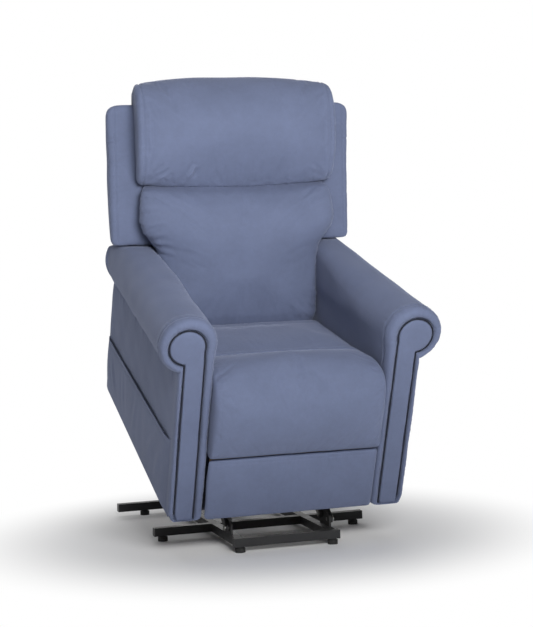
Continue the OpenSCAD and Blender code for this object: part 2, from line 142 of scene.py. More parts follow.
def add_studio():
    """A white floor that runs out into a white surround, and soft boxes in front, above and behind."""
    scene.view_settings.view_transform = "Standard"
    world = bpy.data.worlds.new("surround")
    scene.world = world
    world.use_nodes = True
    tree = world.node_tree
    seen = add_node(tree, "ShaderNodeLightPath").outputs["Is Camera Ray"]
    strength = add_node(tree, "ShaderNodeMix", {0: seen, 2: SURROUND_LIGHT, 3: 1.0})
    tree.links.new(strength.outputs[0], tree.nodes["Background"].inputs["Strength"])
    tree.nodes["Background"].inputs["Color"].default_value = (1, 1, 1, 1)
    floor = mesh_object("floor", np.array([(-9, -9, 0), (9, -9, 0), (9, 9, 0), (-9, 9, 0)]), [(0, 1, 2, 3)])
    floor.data.materials.append(floor_paint())
    add_light("key", (-0.10, -3.2, 1.80), (-0.06, 0.05, 1.08), (1.5, 1.1), 16, beam=60)
    add_light("fill", (-0.6, -4.6, 2.4), (0, 0, 0.6), (2.4, 1.8), 31)
    add_light("top", (0.2, 0.4, 4.0), (0, 0, 0), (3.2, 3.2), 30)
    add_light("rear", (0.5, 4.2, 2.2), (0, 0, 0.7), (3.0, 2.0), 50)


# ---- Meshes as arrays ----


def mesh_object(name, verts, faces):
    mesh = bpy.data.meshes.new(name)
    mesh.from_pydata(np.asarray(verts).tolist(), [], faces)
    work = bmesh.new()
    work.from_mesh(mesh)
    bmesh.ops.remove_doubles(work, verts=work.verts, dist=1e-6)
    bmesh.ops.recalc_face_normals(work, faces=work.faces)
    work.to_mesh(mesh)
    work.free()
    return add_object(name, mesh)


def zip_over(start, size, seam_at):
    """Faces that close a ring of points like a zip, from the point seam_at to the far side."""
    left = [start + (seam_at + i) % size for i in range((size + 1) // 2)]
    right = [start + (seam_at - 1 - i) % size for i in range(size // 2)]
    faces = [(left[i], left[i + 1], right[i + 1], right[i]) for i in range(len(right) - 1)]
    if size % 2:
        faces.append((left[-2], left[-1], right[-1]))
    return faces


def skin(count, size, start=0):
    """Faces over a number of closed rings of points, numbered from start."""
    faces = []
    for ring in range(start, start + (count - 1) * size, size):
        for j in range(size):
            k = (j + 1) % size
            faces.append((ring + j, ring + k, ring + size + k, ring + size + j))
    return faces


def loft(name, rings, seam_at=None):
    """A skin over closed rings of equal length, with one face over each end, or a zip of small ones."""
    rings = np.asarray(rings, dtype=float)
    count, size, _ = rings.shape
    faces = skin(count, size)
    for start in (0, (count - 1) * size):
        faces += [tuple(range(start, start + size))] if seam_at is None else zip_over(start, size, seam_at)
    return mesh_object(name, rings.reshape(-1, 3), faces)


def rows_of(store, key):
    out = np.empty(len(store) * 3)
    store.foreach_get(key, out)
    return out.reshape(-1, 3)


def points(obj):
    return rows_of(obj.data.vertices, "co")


def set_points(obj, where):
    obj.data.vertices.foreach_set("co", np.ascontiguousarray(where).ravel())
    obj.data.update()


def push_out(obj, push):
    """Moves every point of a cover along its normal."""
    set_points(obj, points(obj) + rows_of(obj.data.vertex_normals, "vector") * push[:, None])


def settle(obj):
    """Makes the object's modifiers final."""
    graph = bpy.context.evaluated_depsgraph_get()
    made = bpy.data.meshes.new_from_object(obj.evaluated_get(graph))
    obj.modifiers.clear()
    old = obj.data
    obj.data = made
    bpy.data.meshes.remove(old)


def add_modifier(obj, kind, **settings):
    modifier = obj.modifiers.new(kind.lower(), kind)
    for key, value in settings.items():
        setattr(modifier, key, value)


def modify(obj, kind, **settings):
    """Puts a modifier on an object and makes it final."""
    add_modifier(obj, kind, **settings)
    settle(obj)


def subdivide(obj):
    modify(obj, "SUBSURF", levels=1, render_levels=1)


CLOTH = {"quality": 4, "mass": 0.25, "tension_stiffness": 12, "compression_stiffness": 12,
    "shear_stiffness": 5, "bending_stiffness": 0.4, "air_damping": 2, "use_pressure": True}


def pad(name, rings, held, cap, pressure, slack, uneven, voxel=0.0055):
    """A cushion over rings, swelled by cloth simulation, then subdivided and made a little uneven.

    held(points) is from 0, free, to 1, sewn down; cap limits how far a point moves."""
    obj = loft(name, rings)
    modify(obj, "REMESH", mode="VOXEL", voxel_size=voxel)
    modify(obj, "SMOOTH", iterations=4, factor=0.5)
    simulate(obj, held, cap, pressure, slack)
    subdivide(obj)
    loose(obj, *uneven)
    return obj


def simulate(obj, held, cap, pressure, slack):
    start = points(obj)
    group = obj.vertex_groups.new(name="held")
    for level in range(1, 11):
        chosen = np.flatnonzero(np.round(held(start) * 10) == level)
        group.add(chosen.tolist(), level / 10, "REPLACE")
    cloth = obj.modifiers.new("cloth", "CLOTH")
    cloth.collision_settings.use_collision = False
    for key, value in CLOTH.items():
        setattr(cloth.settings, key, value)
    cloth.settings.uniform_pressure_force = pressure
    cloth.settings.shrink_min = -slack
    cloth.settings.vertex_group_mass = "held"
    cloth.settings.effector_weights.gravity = 0
    for step in range(1, 21):
        scene.frame_set(step)
    settle(obj)
    obj.vertex_groups.clear()
    scene.frame_set(1)
    move = points(obj) - start
    move *= min(1, cap / np.percentile(np.linalg.norm(move, axis=1), 98))
    length = np.linalg.norm(move, axis=1, keepdims=True)
    set_points(obj, start + move * np.minimum(1, cap / np.maximum(length, 1e-9)))


# ---- Curves and noise ----


def arc(centre, radius, start, end, count):
    """Points in a plane on a circle, from one angle to another in degrees."""
    angles = np.radians(np.linspace(start, end, count))
    return np.column_stack((centre[0] + radius * np.cos(angles), centre[1] + radius * np.sin(angles)))


def around(count):
    """Even angles once round."""
    return np.linspace(0, 2 * math.pi, count, endpoint=False)


def straight(a, b, count):
    """Points in a plane on a line, without the last."""
    return np.linspace(a, b, count, endpoint=False)


def unit(rows):
    """Each row as a direction of length 1."""
    return rows / np.maximum(np.linalg.norm(rows, axis=1, keepdims=True), 1e-9)


def ramp(value, start, reach):
    """Rises from 0 at start to 1 at start + reach, and stays level outside them."""
    return np.clip((value - start) / reach, 0, 1)


def boxy(wave, power):
    """A sine or cosine flattened so that a round section turns into a box with rounded corners."""
    return np.sign(wave) * np.abs(wave) ** power


def run_of(curve):
    """How far along a curve each of its points is."""
    return np.concatenate(([0], np.cumsum(np.linalg.norm(np.diff(curve, axis=0), axis=1))))


def length_of(curve):
    return float(np.linalg.norm(np.diff(np.asarray(curve), axis=0), axis=1).sum())


def ring_at(y, outline, sign=1):
    """An outline across the chair, in x and z, stood at y."""
    return np.column_stack((sign * outline[:, 0], np.full(len(outline), y), outline[:, 1]))


def ring_across(x, outline):
    """An outline from front to rear, in y and z, stood at x."""
    return np.column_stack((np.full(len(outline), x), outline))


def resample(curve, count, closed=False):
    """Evenly spaced points along a curve."""
    curve = np.asarray(curve, dtype=float)
    if closed:
        curve = np.vstack((curve, curve[:1]))
    run = run_of(curve)
    at = np.linspace(0, run[-1], count, endpoint=not closed)
    return np.column_stack([np.interp(at, run, curve[:, k]) for k in range(curve.shape[1])])


def rounded(outline, times=3, closed=True):
    """Cuts the corners of an outline again and again, which leaves a smooth curve."""
    outline = np.asarray(outline, dtype=float)
    for _ in range(times):
        after = np.roll(outline, -1, axis=0)
        near, far = 0.75 * outline + 0.25 * after, 0.25 * outline + 0.75 * after
        made = np.stack((near, far), axis=1).reshape(-1, outline.shape[1])
        outline = made if closed else np.vstack((outline[:1], made[1:-2], outline[-1:]))
    return outline


def inward(outline, amount):
    """An outline in a plane moved inwards; amount is one number or one for each point."""
    step = unit(np.roll(outline, -1, axis=0) - np.roll(outline, 1, axis=0))
    area = np.sum(outline[:, 0] * np.roll(outline[:, 1], -1) - np.roll(outline[:, 0], -1) * outline[:, 1])
    side = np.column_stack((-step[:, 1], step[:, 0])) * np.sign(area)
    return outline + side * np.reshape(amount, (-1, 1))


def shoulder(x, half, radius):
    """How far a rounded edge of this radius has fallen away at x, for a side at half."""
    t = np.clip((np.abs(x) - (half - radius)) / radius, 0, 1)
    return radius * (1 - np.sqrt(1 - t * t))


def stations(half, radius, count, edge=8):
    """Places across a cushion, closer together over the rounded edges."""
    middle = np.linspace(-(half - radius), half - radius, count)
    turn = half - radius + radius * np.sin(np.linspace(0, math.pi / 2, edge + 1)[1:])
    return np.concatenate((-turn[::-1], middle, turn))


def eased(ends, turns, middle, edge):
    """Heights up a cushion, closer together over its rounded ends."""
    angle = np.linspace(0, math.pi / 2, edge)
    low, high = ends[0] + turns[0] * (1 - np.cos(angle)), ends[1] - turns[1] * (1 - np.sin(angle))
    return np.concatenate((low, np.linspace(*middle), high))


def ripple(t, seed):
    """A smooth wandering wave between about -1 and 1."""
    rng = np.random.default_rng(seed)
    total = np.zeros_like(t)
    for pace in (0.41, 0.73, 1.0, 1.37, 1.9):
        wave = 2 * math.pi * pace * rng.uniform(0.9, 1.1) * t
        total += np.sin(wave + rng.uniform(0, 2 * math.pi)) / pace ** 0.4
    return total / 2.6


def blotches(where, size, seed):
    """A smooth field over space that wanders between about -1 and 1, with features of a size."""
    rng = np.random.default_rng(seed)
    total = np.zeros(len(where))
    for _ in range(9):
        wave = rng.normal(size=3)
        wave *= 2 * math.pi / (size * rng.uniform(0.7, 1.8) * np.linalg.norm(wave))
        total += np.sin(where @ wave + rng.uniform(0, 2 * math.pi))
    return total / 4


def near(where, curve):
    """Distance from each point to a curve, and how far along it the nearest place is."""
    total = run_of(np.asarray(curve, dtype=float))[-1]
    curve = resample(curve, max(3, int(total / 0.0025)))
    place = np.linspace(0, total, len(curve))
    distance = np.empty(len(where))
    along = np.empty(len(where))
    for i in range(0, len(where), 20000):
        part = where[i:i + 20000]
        square = (part ** 2).sum(1)[:, None] + (curve ** 2).sum(1)[None] - 2 * part @ curve.T
        best = square.argmin(1)
        distance[i:i + 20000] = np.sqrt(np.maximum(square[np.arange(len(part)), best], 0))
        along[i:i + 20000] = place[best]
    return distance, along


def beside(where, *lines):
    """How close each point is to the nearest of some sewn lines: 1 on a line, fading to 0."""
    return np.exp(-(np.min([near(where, line)[0] for line in lines], axis=0) / 0.006) ** 2)


def laid_on(obj, curve):
    """A curve brought onto the surface of an object, and the surface's direction at each point."""
    found = [obj.closest_point_on_mesh(Vector(p)) for p in np.asarray(curve)]
    return np.array([f[1][:] for f in found]), np.array([f[2][:] for f in found])


def seam(obj, curve, depth=0.004, width=0.003, swell=0.0, gather=0.0, reach=0.022, pitch=0.022, seed=1):
    """Sinks a sewn line into a cover, raises the padding beside it and gathers the cloth along it."""
    curve, _ = laid_on(obj, curve)
    distance, along = near(points(obj), curve)
    push = -depth * np.exp(-(distance / width) ** 2)
    push += swell * np.exp(-((distance - 0.5 * reach) / (0.4 * reach)) ** 2)
    if gather:
        free = np.exp(-(distance / reach) ** 2) * (1 - np.exp(-(distance / (1.6 * width)) ** 2))
        strength = 0.65 + 0.35 * ripple(along / (6 * pitch), seed + 50)
        push += gather * free * strength * ripple(along / pitch, seed)
    push_out(obj, push)


def fold(obj, a, b, height, width):
    """A soft ridge with a hollow beside it along a line that fades out at both ends."""
    line, _ = laid_on(obj, np.linspace(a, b, 60))
    distance, along = near(points(obj), line)
    total = np.linalg.norm(np.array(b) - np.array(a))
    fade = np.sin(math.pi * np.clip(along / total, 0, 1))
    push = height * fade * np.exp(-(distance / width) ** 2)
    push -= 0.5 * height * fade * np.exp(-((distance - 2 * width) / width) ** 2)
    push_out(obj, push)


def loose(obj, height, size, seed):
    """A faint unevenness of padding under the cover."""
    push_out(obj, height * blotches(points(obj), size, seed))


def stitches(name, obj, curve, side=0.0, length=0.0042, gap=0.0022, radius=0.00042):
    """A row of sewing thread on a cover, side metres off the curve."""
    line, up = laid_on(obj, resample(curve, max(8, int(length_of(curve) / 0.003))))
    along = unit(np.gradient(line, axis=0))
    line = line + side * np.cross(up, along)
    line, up = laid_on(obj, line)
    count = int(length_of(line) / (length + gap))
    run = run_of(line)
    verts, faces = [], []
    for i in range(count):
        middle = (i + 0.5) * (length + gap)
        at, z, x = (np.array([np.interp(middle, run, part) for part in row.T]) for row in (line, up, along))
        z /= np.linalg.norm(z)
        y = np.cross(z, x)
        base = len(verts)
        for t, r in ((-1, 0.35), (-0.6, 0.9), (0, 1), (0.6, 0.9), (1, 0.35)):
            lift = radius * (0.9 - 0.9 * t * t)
            for a in range(6):
                c, s = math.cos(a * math.pi / 3), math.sin(a * math.pi / 3)
                verts.append(at + x * t * length / 2 + z * (lift + radius * r * s) + y * radius * r * c)
        faces += skin(5, 6, base) + [tuple(range(base, base + 6)), tuple(range(base + 24, base + 30))]
    return mesh_object(name, np.array(verts), faces)


# ---- Finishes ----


def add_node(tree, kind, inputs=None, **settings):
    node = tree.nodes.new(kind)
    for key, value in settings.items():
        setattr(node, key, value)
    for key, value in (inputs or {}).items():
        if isinstance(value, bpy.types.NodeSocket):
            tree.links.new(value, node.inputs[key])
        else:
            node.inputs[key].default_value = value
    return node


def start_material(name, **constants):
    material = bpy.data.materials.new(name)
    material.use_nodes = True
    tree = material.node_tree
    shader = tree.nodes["Principled BSDF"]
    for key, value in constants.items():
        shader.inputs[key.replace("_", " ")].default_value = value
    place = add_node(tree, "ShaderNodeTexCoord").outputs["Object"]
    turned = add_node(tree, "ShaderNodeMapping", {"Vector": place})
    turned.inputs["Rotation"].default_value = (-CHAIR.to_euler().x, 0, 0)
    return material, tree, turned.outputs["Vector"]


def blend_colours(tree, factor, *ends):
    """A mix of two colours, each either three numbers or the output of a node."""
    inputs = {0: factor}
    for slot, colour in zip((6, 7), ends):
        inputs[slot] = colour if isinstance(colour, bpy.types.NodeSocket) else (*colour, 1)
    return add_node(tree, "ShaderNodeMix", inputs, data_type="RGBA").outputs[2]


def spread(tree, value, low, high, start=0.3, stop=0.7):
    """A value from start to stop stretched onto a range."""
    return add_node(tree, "ShaderNodeMapRange", {0: value, 1: start, 2: stop, 3: low, 4: high}).outputs[0]


def noise(tree, place, scale, detail=3.0, roughness=0.55):
    made = add_node(tree, "ShaderNodeTexNoise",
        {"Vector": place, "Scale": scale, "Detail": detail, "Roughness": roughness})
    return made.outputs["Fac"]


def finished(material, colour, roughness, layers):
    """Links a colour, a roughness unless it is None, and bumps on top of each other to a material's shader.

    Each layer of bumps is a height, a strength and a depth in metres."""
    tree = material.node_tree
    shader = tree.nodes["Principled BSDF"]
    tree.links.new(colour, shader.inputs["Base Color"])
    if roughness is not None:
        tree.links.new(roughness, shader.inputs["Roughness"])
    below = None
    for height, strength, depth in layers:
        bump = add_node(tree, "ShaderNodeBump", {"Height": height, "Strength": strength, "Distance": depth})
        if below is not None:
            tree.links.new(below, bump.inputs["Normal"])
        below = bump.outputs["Normal"]
    tree.links.new(below, shader.inputs["Normal"])
    return material


def scaled(colour, factor):
    return tuple(c * factor for c in colour)


CLOTH_BLUE = (0.112, 0.135, 0.218)


def microfibre(name, colour=CLOTH_BLUE):
    """Brushed microfibre: a fine weave under a soft nap that lies in lighter and darker patches."""
    material, tree, place = start_material(name, Sheen_Weight=0.22, Sheen_Roughness=0.45,
        Sheen_Tint=(0.72, 0.78, 1.0, 1), Specular_IOR_Level=0.22)
    nap = noise(tree, place, 9, 5, 0.6)
    fibre = noise(tree, place, 1100, 2, 0.7)
    brushed = noise(tree, place, 65, 4, 0.65)
    ground = blend_colours(tree, spread(tree, nap, 0, 1), scaled(colour, 0.90), scaled(colour, 1.08))
    speck = blend_colours(tree, spread(tree, brushed, 0, 1), scaled(colour, 0.88), scaled(colour, 1.12))
    patched = blend_colours(tree, 0.35, ground, speck)
    threads = spread(tree, fibre, 0.86, 1.12, 0.2, 0.8)
    lit_by = {0: patched, "Scale": threads}
    grained = add_node(tree, "ShaderNodeVectorMath", lit_by, operation="SCALE").outputs[0]
    edges = add_node(tree, "ShaderNodeNewGeometry").outputs["Pointiness"]
    worn = spread(tree, edges, 0, 0.30, 0.50, 0.58)
    worn_cloth = blend_colours(tree, worn, grained, scaled(colour, 1.5))
    bands = {"Vector": place, "Scale": 240.0, "Distortion": 0.6, "Detail Scale": 2.0}
    warp, weft = (add_node(tree, "ShaderNodeTexWave", bands, bands_direction=axis).outputs["Fac"]
        for axis in "XZ")
    weave = add_node(tree, "ShaderNodeMath", {0: warp, 1: weft}, operation="ADD").outputs[0]
    return finished(material, worn_cloth, spread(tree, brushed, 0.74, 0.90),
        [(weave, 0.35, 0.00025), (fibre, 0.5, 0.0004), (brushed, 0.35, 0.0012)])


def thread():
    material, tree, place = start_material("sewing_thread", Sheen_Weight=0.3, Roughness=0.6)
    twist = add_node(tree, "ShaderNodeTexWave", {"Vector": place, "Scale": 520.0, "Distortion": 1.0},
        bands_direction="DIAGONAL").outputs["Fac"]
    colour = blend_colours(tree, twist, scaled(CLOTH_BLUE, 0.75), scaled(CLOTH_BLUE, 1.25))
    return finished(material, colour, None, [(twist, 0.6, 0.0002)])


def coated_steel():
    """Black powder coat: satin, with a fine orange peel, dust and rubbed edges."""
    material, tree, place = start_material("black_steel", Specular_IOR_Level=0.22)
    dust = noise(tree, place, 26, 5, 0.65)
    peel = noise(tree, place, 700, 2)
    coat = blend_colours(tree, spread(tree, dust, 0, 1), (0.004, 0.004, 0.005), (0.010, 0.010, 0.011))
    edges = add_node(tree, "ShaderNodeNewGeometry").outputs["Pointiness"]
    rubbed = spread(tree, edges, 0, 0.5, 0.52, 0.62)
    colour = blend_colours(tree, rubbed, coat, (0.05, 0.05, 0.052))
    rough = spread(tree, dust, 0.42, 0.58)
    return finished(material, colour, rough, [(peel, 0.35, 0.0003), (dust, 0.1, 0.0008)])


def bright_steel(name, colour, roughness):
    """Bare or zinc-plated steel, drawn along X, with faint stains."""
    material, tree, place = start_material(name, Metallic=1.0)
    stretched = add_node(tree, "ShaderNodeMapping", {"Vector": place, "Scale": (6, 260, 260)}).outputs[0]
    drawn = noise(tree, stretched, 3, 4, 0.7)
    stain = noise(tree, place, 40, 4)
    stained = blend_colours(tree, spread(tree, stain, 0, 1), scaled(colour, 0.78), colour)
    rough = spread(tree, drawn, roughness - 0.08, roughness + 0.12)
    return finished(material, stained, rough, [(drawn, 0.3, 0.0002)])


def moulded(name, colour, roughness, grain):
    """Moulded plastic or rubber with a spark-eroded grain."""
    material, tree, place = start_material(name, Specular_IOR_Level=0.45)
    skin = noise(tree, place, grain, 3, 0.6)
    cast = noise(tree, place, 30, 3)
    clouded = blend_colours(tree, spread(tree, cast, 0, 1), scaled(colour, 0.8), scaled(colour, 1.25))
    rough = spread(tree, skin, roughness - 0.07, roughness + 0.07)
    return finished(material, clouded, rough, [(skin, 0.4, 0.0003)])


def softwood():
    """Sawn frame timber with long grain along its rings."""
    material, tree, place = start_material("frame_timber", Specular_IOR_Level=0.3)
    warped = add_node(tree, "ShaderNodeMapping", {"Vector": place, "Scale": (1, 1, 0.12)}).outputs[0]
    growth = {"Vector": warped, "Scale": 12.0, "Distortion": 5.0, "Detail": 3.0, "Detail Scale": 1.5}
    rings = add_node(tree, "ShaderNodeTexWave", growth, wave_type="RINGS").outputs["Fac"]
    pores = noise(tree, warped, 420, 3, 0.7)
    grain = blend_colours(tree, rings, (0.34, 0.20, 0.10), (0.56, 0.38, 0.21))
    rough = spread(tree, pores, 0.55, 0.78)
    return finished(material, grain, rough, [(rings, 0.2, 0.0006), (pores, 0.4, 0.0004)])


def floor_paint():
    """White paint that glows more and more away from the chair, so that the floor has no far edge."""
    material, tree, place = start_material("floor_paint", Base_Color=(0.93, 0.93, 0.93, 1), Roughness=0.9)
    paint = tree.nodes["Principled BSDF"].outputs[0]
    far = add_node(tree, "ShaderNodeVectorMath", {0: place}, operation="LENGTH").outputs["Value"]
    glow = add_node(tree, "ShaderNodeMapRange", {0: far, 1: 0.42, 2: 1.00, 3: 0.0, 4: 1.0},
        interpolation_type="SMOOTHSTEP").outputs[0]
    light = add_node(tree, "ShaderNodeEmission", {"Strength": 1.0})
    mixed = add_node(tree, "ShaderNodeMixShader", {0: glow, 1: paint, 2: light.outputs[0]})
    tree.links.new(mixed.outputs[0], tree.nodes["Material Output"].inputs["Surface"])
    return material


def finish_cad_nodes():
    """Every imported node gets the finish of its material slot, and hard edges get a small radius."""
    finishes = {
        "upholstery": FABRIC,
        "timber": softwood(),
        "black_plastic": moulded("black_plastic", (0.022, 0.022, 0.024), 0.48, 900),
        "foot_rubber": moulded("foot_rubber", (0.016, 0.016, 0.016), 0.72, 500),
        "black_steel": coated_steel(),
        "zinc_steel": bright_steel("zinc_steel", (0.34, 0.34, 0.33), 0.40),
        "spring_wire": bright_steel("spring_wire", (0.42, 0.42, 0.44), 0.38),
    }
    slots = {s["node"]: s["material_slot"] for s in frame["record"]["subparts"]}
    for name, obj in frame["nodes"].items():
        obj.data.materials.clear()
        obj.data.materials.append(finishes[slots[name]])
        if slots[name] in ("black_steel", "black_plastic", "timber"):
            add_modifier(obj, "BEVEL", width=0.0009, segments=2, limit_method="ANGLE",
                angle_limit=math.radians(35))


# ---- Placing a finished piece ----


def dress(obj, matrix, material):
    """Moves a piece drawn in the chair's or the back's frame into the row's frame and gives it its finish."""
    obj.data.transform(matrix)
    obj.data.materials.clear()
    obj.data.materials.append(material)
    obj.data.polygons.foreach_set("use_smooth", [True] * len(obj.data.polygons))
    obj.data.update()


def place(obj, body, *nodes, material=None, fill=None):
    """Puts a piece on its body. What rides on the back is drawn in its frame, the rest in the chair's."""
    dress(obj, BACK if body == "back" else CHAIR, material or FABRIC)
    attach(obj, body)
    if nodes:
        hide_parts(*nodes)


def sewn(obj, body, curve, name, sides=(0.0,)):
    """Rows of thread along a curve on a cover, which ride with it."""
    for i, side in enumerate(sides):
        row = stitches(f"{name}_{i + 1}", obj, curve, side)
        place(row, body, material=THREAD)


def tube(name, curve, radius, sides=8):
    """A round cord along a curve in a plane across the chair."""
    ahead = unit(np.gradient(curve, axis=0))
    depth = np.array((0.0, 1.0, 0.0))
    across = np.cross(ahead, depth)
    c, s = np.cos(around(sides)), np.sin(around(sides))
    rings = [at + radius * (np.outer(c, depth) + np.outer(s, side)) for at, side in zip(curve, across)]
    return loft(name, rings)


# ---- Arms ----

# Where the middle of the floor edge comes among the points of an arm's outline
UNDER_MIDDLE = 146


def arm_section(y):
    """Outline of an arm across the chair at y, as x and z: up the inside, over the roll, down the outside."""
    roll_z = ROLL_Z - ROLL_SLOPE * y
    wall = ARM_WALL + (ARM_OUTER - ARM_WALL) * math.exp(-(y / 0.045) ** 2)
    radius = ROLL_R + 0.001 * math.exp(-(y / 0.05) ** 2)
    inside = straight((ARM_INNER, 0.004), (ARM_INNER - 0.001, roll_z - 0.062), 34)
    roll = arc((ROLL_X, roll_z), radius, 203, -70, 70)
    rear = ramp(y, 0, ARM_DEPTH)
    plump = math.sin(math.pi * ramp(y, 0, 0.64))
    away = (roll - (ROLL_X, roll_z)) / radius
    power = 1 / (1 + ROLL_SQUARENESS * ramp(y, 0.30, 0.35))
    boxed = boxy(away, power) * radius * (1 + ROLL_PLUMPNESS * plump, 1)
    narrowed = away * radius * (1 - ROLL_NARROWING * rear, 1)
    roll = (ROLL_X, roll_z) + np.where(away[:, :1] < 0, boxed, narrowed)
    crease = (min(wall - 0.004, ROLL_X + 0.022), roll_z - radius + 0.006)
    outside = straight((wall - 0.001, roll_z - radius - 0.006), (wall, 0.012), 36)
    bulge = 0.003 * np.sin(np.pi * np.linspace(0, 1, 36))
    outside[:, 0] += bulge * (1 - math.exp(-(y / 0.08) ** 2))
    under = straight((wall - 0.008, 0.003), (ARM_INNER + 0.006, 0.003), 10)
    outline = np.vstack((inside, roll, [crease], outside, under))
    for _ in range(5):
        outline[26:44] = 0.5 * outline[26:44] + 0.25 * (outline[25:43] + outline[27:45])
    return outline


def keyhole_section(y, grow=0.0):
    """Outline of the front inset carried back to y, with as many points as the arm's."""
    shift = -ROLL_SLOPE * y
    left, right = KEYHOLE_POST[0] - grow, KEYHOLE_POST[1] + grow
    radius = KEYHOLE_R + grow
    centre = (KEYHOLE_X, KEYHOLE_Z + shift)
    inside = straight((left, 0.004), (left, centre[1] - 0.022), 34)
    roll = arc(centre, radius, 196, -78, 70)
    notch = (right, centre[1] - radius * 0.992)
    outside = straight((right, centre[1] - radius - 0.006), (right, 0.012), 36)
    under = straight((right - 0.004, 0.003), (left + 0.004, 0.003), 10)
    return np.vstack((inside, roll, [notch], outside, under))


def under_wing(outline, y):
    """Keeps the rear of the roll below the path of the wings."""
    if y < 0.66:
        return outline
    back = max(y, WING_FRONT_Y) - RECLINE_HINGE[0]
    ceiling = RECLINE_HINGE[1] + math.sqrt(WING_SWEEP_R ** 2 - back ** 2) + 0.8 * max(0, WING_FRONT_Y - y)
    soft = 0.002
    outline[:, 1] -= soft * np.logaddexp(0, (outline[:, 1] - ceiling) / soft)
    return outline


def arm_cover(name, sign):
    """The cover of an arm: one skin from the seat over the roll and down to the floor edge."""
    ends = [(0.860, 0.55), (0.8598, 0.36), (0.8585, 0.20), (0.855, 0.09), (0.849, 0.02)]
    front = [(0.026, 0.0), (0.018, 0.02), (0.011, 0.07), (0.0055, 0.15), (0.0018, 0.27), (0.0, 0.42),
        (-0.0004, 0.58), (0.0012, 0.73), (0.0042, 0.86), (0.009, 0.95), (0.016, 1.0)]
    along = np.concatenate((np.linspace(0.842, 0.20, 56), np.linspace(0.192, 0.032, 26)))
    rings = []
    for y, t in ends + [(y, 0.0) for y in along] + front:
        outline = under_wing((1 - t) * arm_section(y) + t * keyhole_section(y, 0.0035), y)
        rings.append(ring_at(y, outline, sign))
    obj = loft(name, rings, UNDER_MIDDLE)
    subdivide(obj)
    return obj


def roll_line(y, start, end, sign):
    """A line at y up the arm's inner side and round its roll, between two angles."""
    roll_z = ROLL_Z - ROLL_SLOPE * y
    bend = arc((ROLL_X, roll_z), ROLL_R, start, end, 80)
    up = straight((ARM_INNER, 0.03), (ARM_INNER, roll_z - 0.06), 60)
    return ring_at(y, np.vstack((up, bend)), sign)


def pocket_top(y):
    """Height of the side pocket's mouth."""
    return np.interp(y, [0.022, 0.072, ARM_DEPTH], [0.258, 0.240, 0.187])


def build_arm(side, sign, seed):
    """An arm's cover with its seams, then the inset in its front and the pocket on its outer side."""
    cover = arm_cover(f"arm_cover_{side}", sign)
    loose(cover, 0.0011, 0.11, seed)
    roll_seam = roll_line(0.031, 203, -68, sign)
    seam(cover, roll_seam, 0.0022, 0.003, swell=0.0012, gather=0.0013, pitch=0.016, seed=seed + 1)
    y = np.linspace(0.03, 0.80, 90)
    under_roll = np.column_stack((y, ROLL_Z - ROLL_SLOPE * y - ROLL_R + 0.003))
    under_roll = ring_across(sign * (ARM_WALL + 0.004), under_roll)
    seam(cover, under_roll, 0.003, 0.006, gather=0.0024, reach=0.032, pitch=0.035, seed=seed + 2)
    edge = ring_at(0.0, keyhole_section(0.0, 0.012)[2:-10], sign)
    seam(cover, edge, 0.0, 0.003, gather=0.0012, reach=0.014, pitch=0.013, seed=seed + 3)
    for y, z, run in ((0.045, 0.478, 0.07), (0.06, 0.470, 0.10), (0.035, 0.465, 0.05)):
        fold(cover, (sign * 0.362, y, z), (sign * 0.40, y + run, z + 0.035), 0.0022, 0.006)
    sewn(cover, "chair", roll_line(0.036, 203, -66, sign), f"arm_thread_{side}", (0.0, 0.006))
    place(cover, "chair", f"arm_inner_panel_{side}", f"arm_outer_panel_{side}", f"arm_roll_{side}",
        f"arm_border_{side}", fill=0.8)
    build_inset(side, sign, seed + 4)
    build_pocket(side, sign, seed + 5)


def build_inset(side, sign, seed):
    """The keyhole panel in the front of the arm, slightly crowned between its edges, and a near-black cord in the
    groove round it, which is painted shade.
    """
    outline = keyhole_section(0.0, -0.0012)
    spine = np.column_stack((np.full(len(outline), 0.314), np.clip(outline[:, 1], 0.02, 0.500)))
    head = ramp(outline[:, 1:], 0.450, 0.09)
    spine = (1 - head) * spine + head * (0.18 * outline + 0.82 * np.array((KEYHOLE_X, KEYHOLE_Z)))
    rings = []
    for y, t in ((0.0185, 0.0), (0.012, 0.0), (0.0075, 0.012), (0.0052, 0.05), (0.0040, 0.12), (0.0034, 0.25),
            (0.0030, 0.45), (0.0028, 0.7), (0.0027, 0.93)):
        ring = (1 - t) * outline + t * spine
        rings.append(ring_at(y, ring, sign))
    obj = loft(f"arm_inset_cover_{side}", rings, UNDER_MIDDLE)
    subdivide(obj)
    loose(obj, 0.0007, 0.06, seed)
    place(obj, "chair", f"arm_inset_{side}", fill=0.9)
    # Painted shade: a near-black cord laid in the groove round the inset stands for the dark shadow in the seam.
    edge = resample(keyhole_section(0.0, 0.0012)[:-10], 260)
    shade_cord = tube(f"arm_inset_shade_cord_{side}", ring_at(0.0064, edge, sign), 0.0021)
    place(shade_cord, "chair", material=LINING_AND_SHADE)


